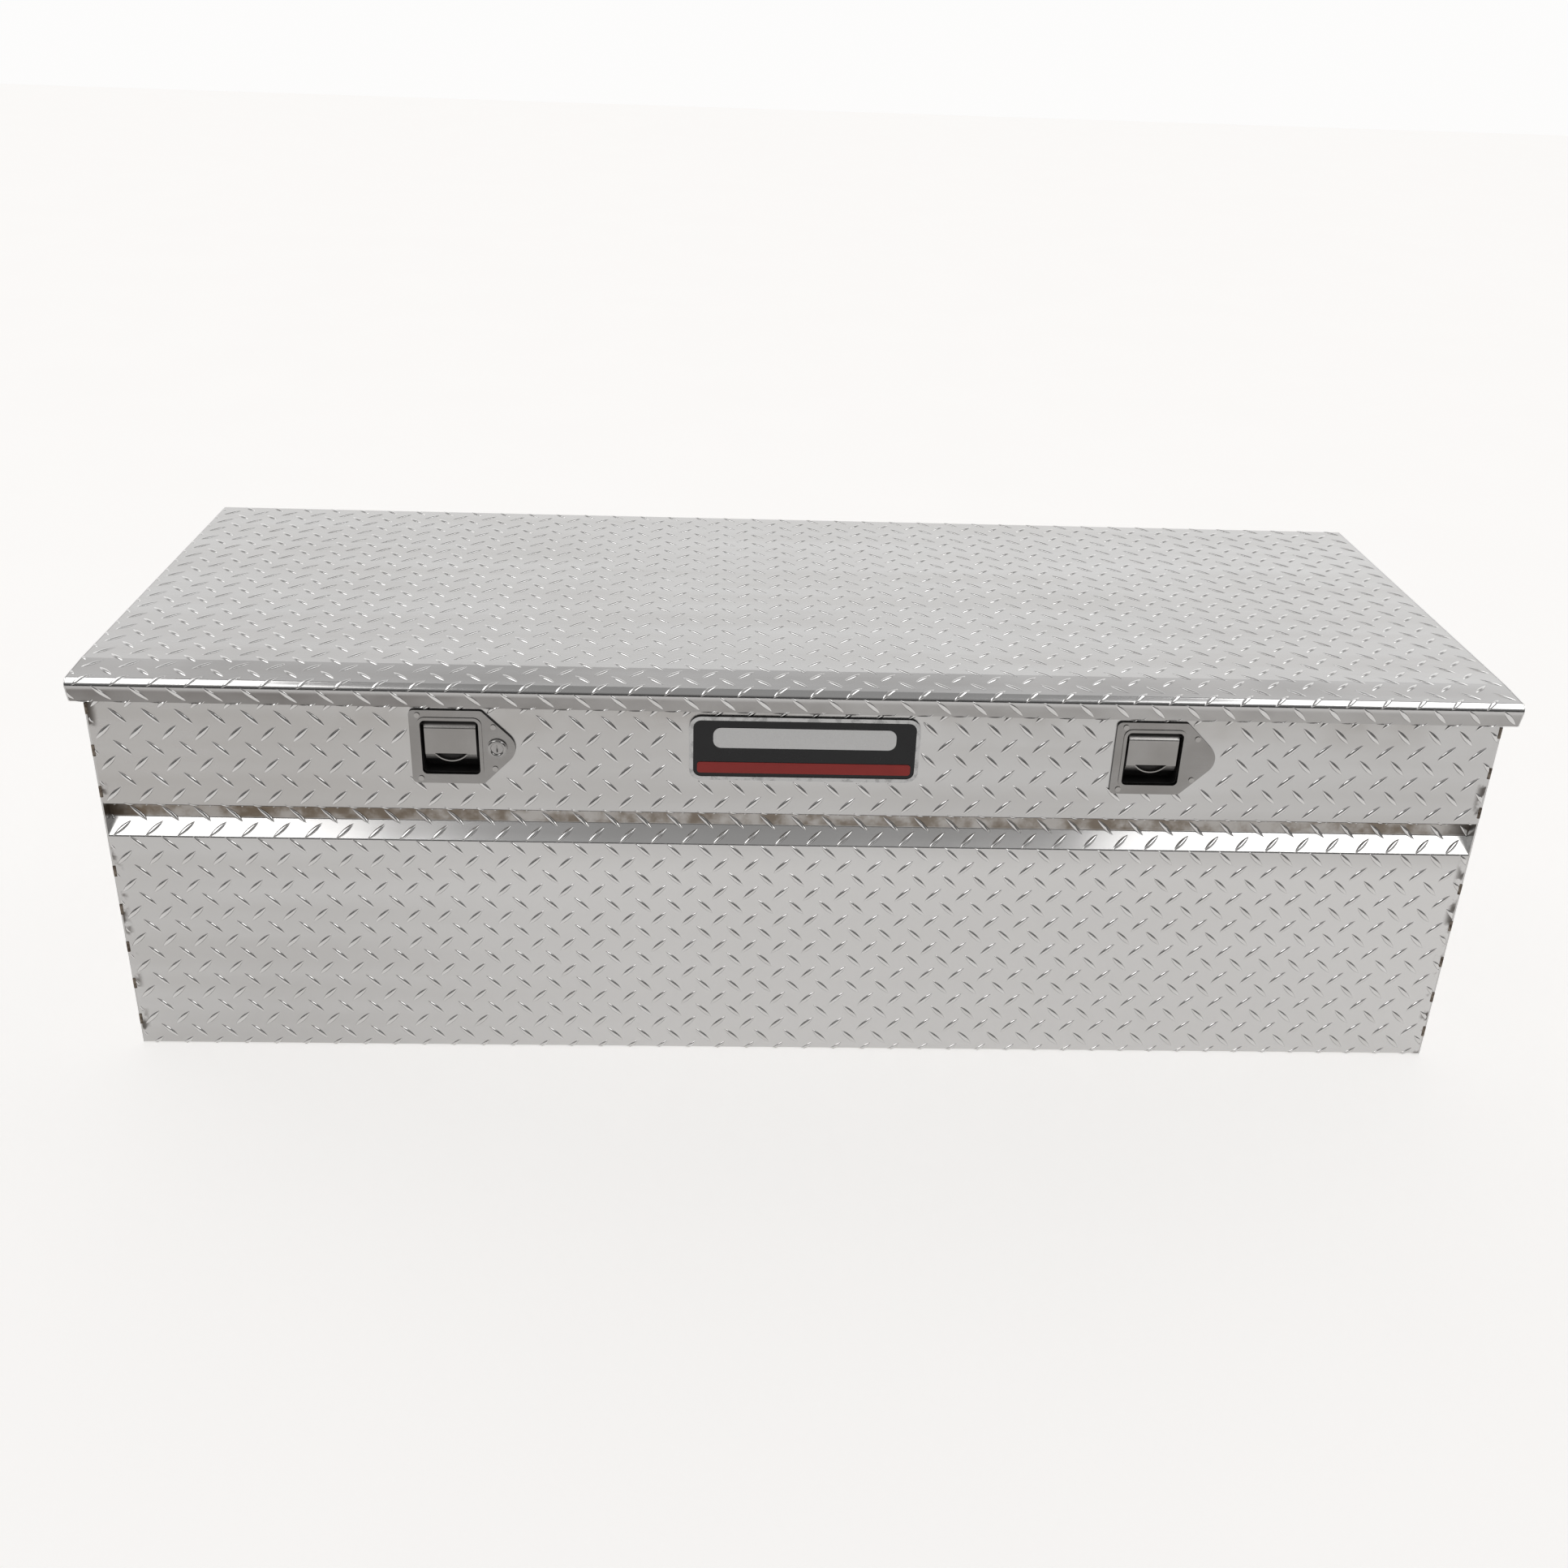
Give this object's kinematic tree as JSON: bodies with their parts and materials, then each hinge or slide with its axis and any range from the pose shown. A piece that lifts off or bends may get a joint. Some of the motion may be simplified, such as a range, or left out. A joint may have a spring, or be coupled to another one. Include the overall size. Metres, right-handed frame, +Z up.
{
  "type": "truck tool box",
  "caption": "Long low truck-bed tool chest of folded tread plate: a hinged lid with a rolled front nose, paddle latches, a key lock, gas struts and a groove along the front.",
  "frame": {"origin": "on the floor, under the middle of the chest's bounding box", "axes": "+X along the length, to the right seen from the front; -Y to the front, where the latches are; +Z up"},
  "size_m": [1.435, 0.558, 0.44],
  "materials": {
    "tread_plate": "bright tread plate with raised lugs, rolled mill finish",
    "weld_bead": "short oxidised weld beads",
    "seal_rubber": "matt black moulded rubber",
    "mill_aluminium": "plain rolled mill finish",
    "stainless": "pressed stainless sheet, satin to bright",
    "rivet_aluminium": "domed blind rivets",
    "zinc_steel": "zinc plated, slightly mottled",
    "strut_paint": "semi-gloss black paint",
    "rod_chrome": "polished hard chrome",
    "spring_steel": "drawn wire",
    "lock_chrome": "bright plated die casting",
    "lock_brass": "zinc-yellow plated steel",
    "badge_black": "gloss black face with a bright rim",
    "badge_silver": "satin silver trim on the badge",
    "badge_red": "gloss red strip"
  },
  "bodies": {
    "chest": {"front_panel": "tread_plate", "rear_panel": "tread_plate", "side_panel_left": "tread_plate", "side_panel_right": "tread_plate", "floor_panel": "tread_plate", "corner_welds": "weld_bead", "rim_seal": "seal_rubber", "hinge_leaf_body": "stainless", "hinge_pin": "stainless", "hinge_rivets_body": "rivet_aluminium", "strut_bracket_body_left": "zinc_steel", "strut_bracket_body_right": "zinc_steel", "strut_stud_body_left": "zinc_steel", "strut_stud_body_right": "zinc_steel", "latch_bezel_left": "stainless", "latch_bezel_right": "stainless", "latch_gasket_left": "seal_rubber", "latch_gasket_right": "seal_rubber", "latch_rivets_left": "rivet_aluminium", "latch_rivets_right": "rivet_aluminium", "latch_case_left": "zinc_steel", "latch_case_right": "zinc_steel", "paddle_pin_left": "stainless", "paddle_pin_right": "stainless", "paddle_spring_left": "spring_steel", "paddle_spring_right": "spring_steel", "pawl_pin_left": "zinc_steel", "pawl_pin_right": "zinc_steel", "lock_housing": "lock_chrome", "lock_nut": "lock_brass", "badge_plate": "badge_black", "badge_bar": "badge_silver", "badge_strip": "badge_red"},
    "lid": {"lid_skin": "tread_plate", "lid_stiffener_front": "mill_aluminium", "lid_stiffener_rear": "mill_aluminium", "hinge_leaf_lid": "stainless", "hinge_rivets_lid": "rivet_aluminium", "strut_bracket_lid_left": "zinc_steel", "strut_bracket_lid_right": "zinc_steel", "strut_stud_lid_left": "zinc_steel", "strut_stud_lid_right": "zinc_steel", "striker_left": "zinc_steel", "striker_right": "zinc_steel"},
    "lock_core": {"lock_plug": "lock_chrome", "lock_cam": "lock_brass"},
    "strut_cylinder_left": {"strut_cylinder_left": "strut_paint"},
    "strut_rod_left": {"strut_rod_left": "rod_chrome"},
    "paddle_left": {"paddle_left": "stainless"},
    "pawl_left": {"pawl_left": "zinc_steel"},
    "strut_cylinder_right": {"strut_cylinder_right": "strut_paint"},
    "strut_rod_right": {"strut_rod_right": "rod_chrome"},
    "paddle_right": {"paddle_right": "stainless"},
    "pawl_right": {"pawl_right": "zinc_steel"}
  },
  "joints": [
    {"name": "lid_hinge", "type": "hinge", "parent": "chest", "child": "lid", "pos_m": [0, 0.273, 0.4155], "axis": [-1, 0, 0], "range_deg": [0, 75]},
    {"name": "strut_swing_left", "type": "hinge", "parent": "chest", "child": "strut_cylinder_left", "pos_m": [-0.666, 0.22954, 0.22028], "axis": [-1, 0, 0], "range_deg": [0, 37.5]},
    {"name": "rod_swing_left", "type": "hinge", "parent": "lid", "child": "strut_rod_left", "pos_m": [-0.666, 0.0732, 0.4244], "axis": [1, 0, 0], "range_deg": [0, 37.5]},
    {"name": "strut_swing_right", "type": "hinge", "parent": "chest", "child": "strut_cylinder_right", "pos_m": [0.666, 0.22954, 0.22028], "axis": [-1, 0, 0], "range_deg": [0, 37.5]},
    {"name": "rod_swing_right", "type": "hinge", "parent": "lid", "child": "strut_rod_right", "pos_m": [0.666, 0.0732, 0.4244], "axis": [1, 0, 0], "range_deg": [0, 37.5]},
    {"name": "paddle_pull_left", "type": "hinge", "parent": "chest", "child": "paddle_left", "pos_m": [-0.354, -0.2543, 0.3875], "axis": [-1, 0, 0], "range_deg": [0, 35], "stiffness_Nm_per_rad": 0.15, "springref_deg": -20.05},
    {"name": "pawl_swing_left", "type": "hinge", "parent": "chest", "child": "pawl_left", "pos_m": [-0.354, -0.219, 0.3735], "axis": [1, 0, 0], "range_deg": [0, 21]},
    {"name": "paddle_pull_right", "type": "hinge", "parent": "chest", "child": "paddle_right", "pos_m": [0.354, -0.2543, 0.3875], "axis": [-1, 0, 0], "range_deg": [0, 35], "stiffness_Nm_per_rad": 0.15, "springref_deg": -20.05},
    {"name": "pawl_swing_right", "type": "hinge", "parent": "chest", "child": "pawl_right", "pos_m": [0.354, -0.219, 0.3735], "axis": [1, 0, 0], "range_deg": [0, 21]},
    {"name": "lock_turn", "type": "hinge", "parent": "chest", "child": "lock_core", "pos_m": [-0.3075, -0.261, 0.3655], "axis": [0, 1, 0], "range_deg": [0, 90]}
  ],
  "couplings": [
    {"joint": "strut_swing_left", "follows": "lid_hinge", "ratio": 0.5},
    {"joint": "rod_swing_left", "follows": "lid_hinge", "ratio": 0.5},
    {"joint": "strut_swing_right", "follows": "lid_hinge", "ratio": 0.5},
    {"joint": "rod_swing_right", "follows": "lid_hinge", "ratio": 0.5},
    {"joint": "pawl_swing_left", "follows": "paddle_pull_left", "ratio": 0.6},
    {"joint": "pawl_swing_right", "follows": "paddle_pull_right", "ratio": 0.6}
  ]
}
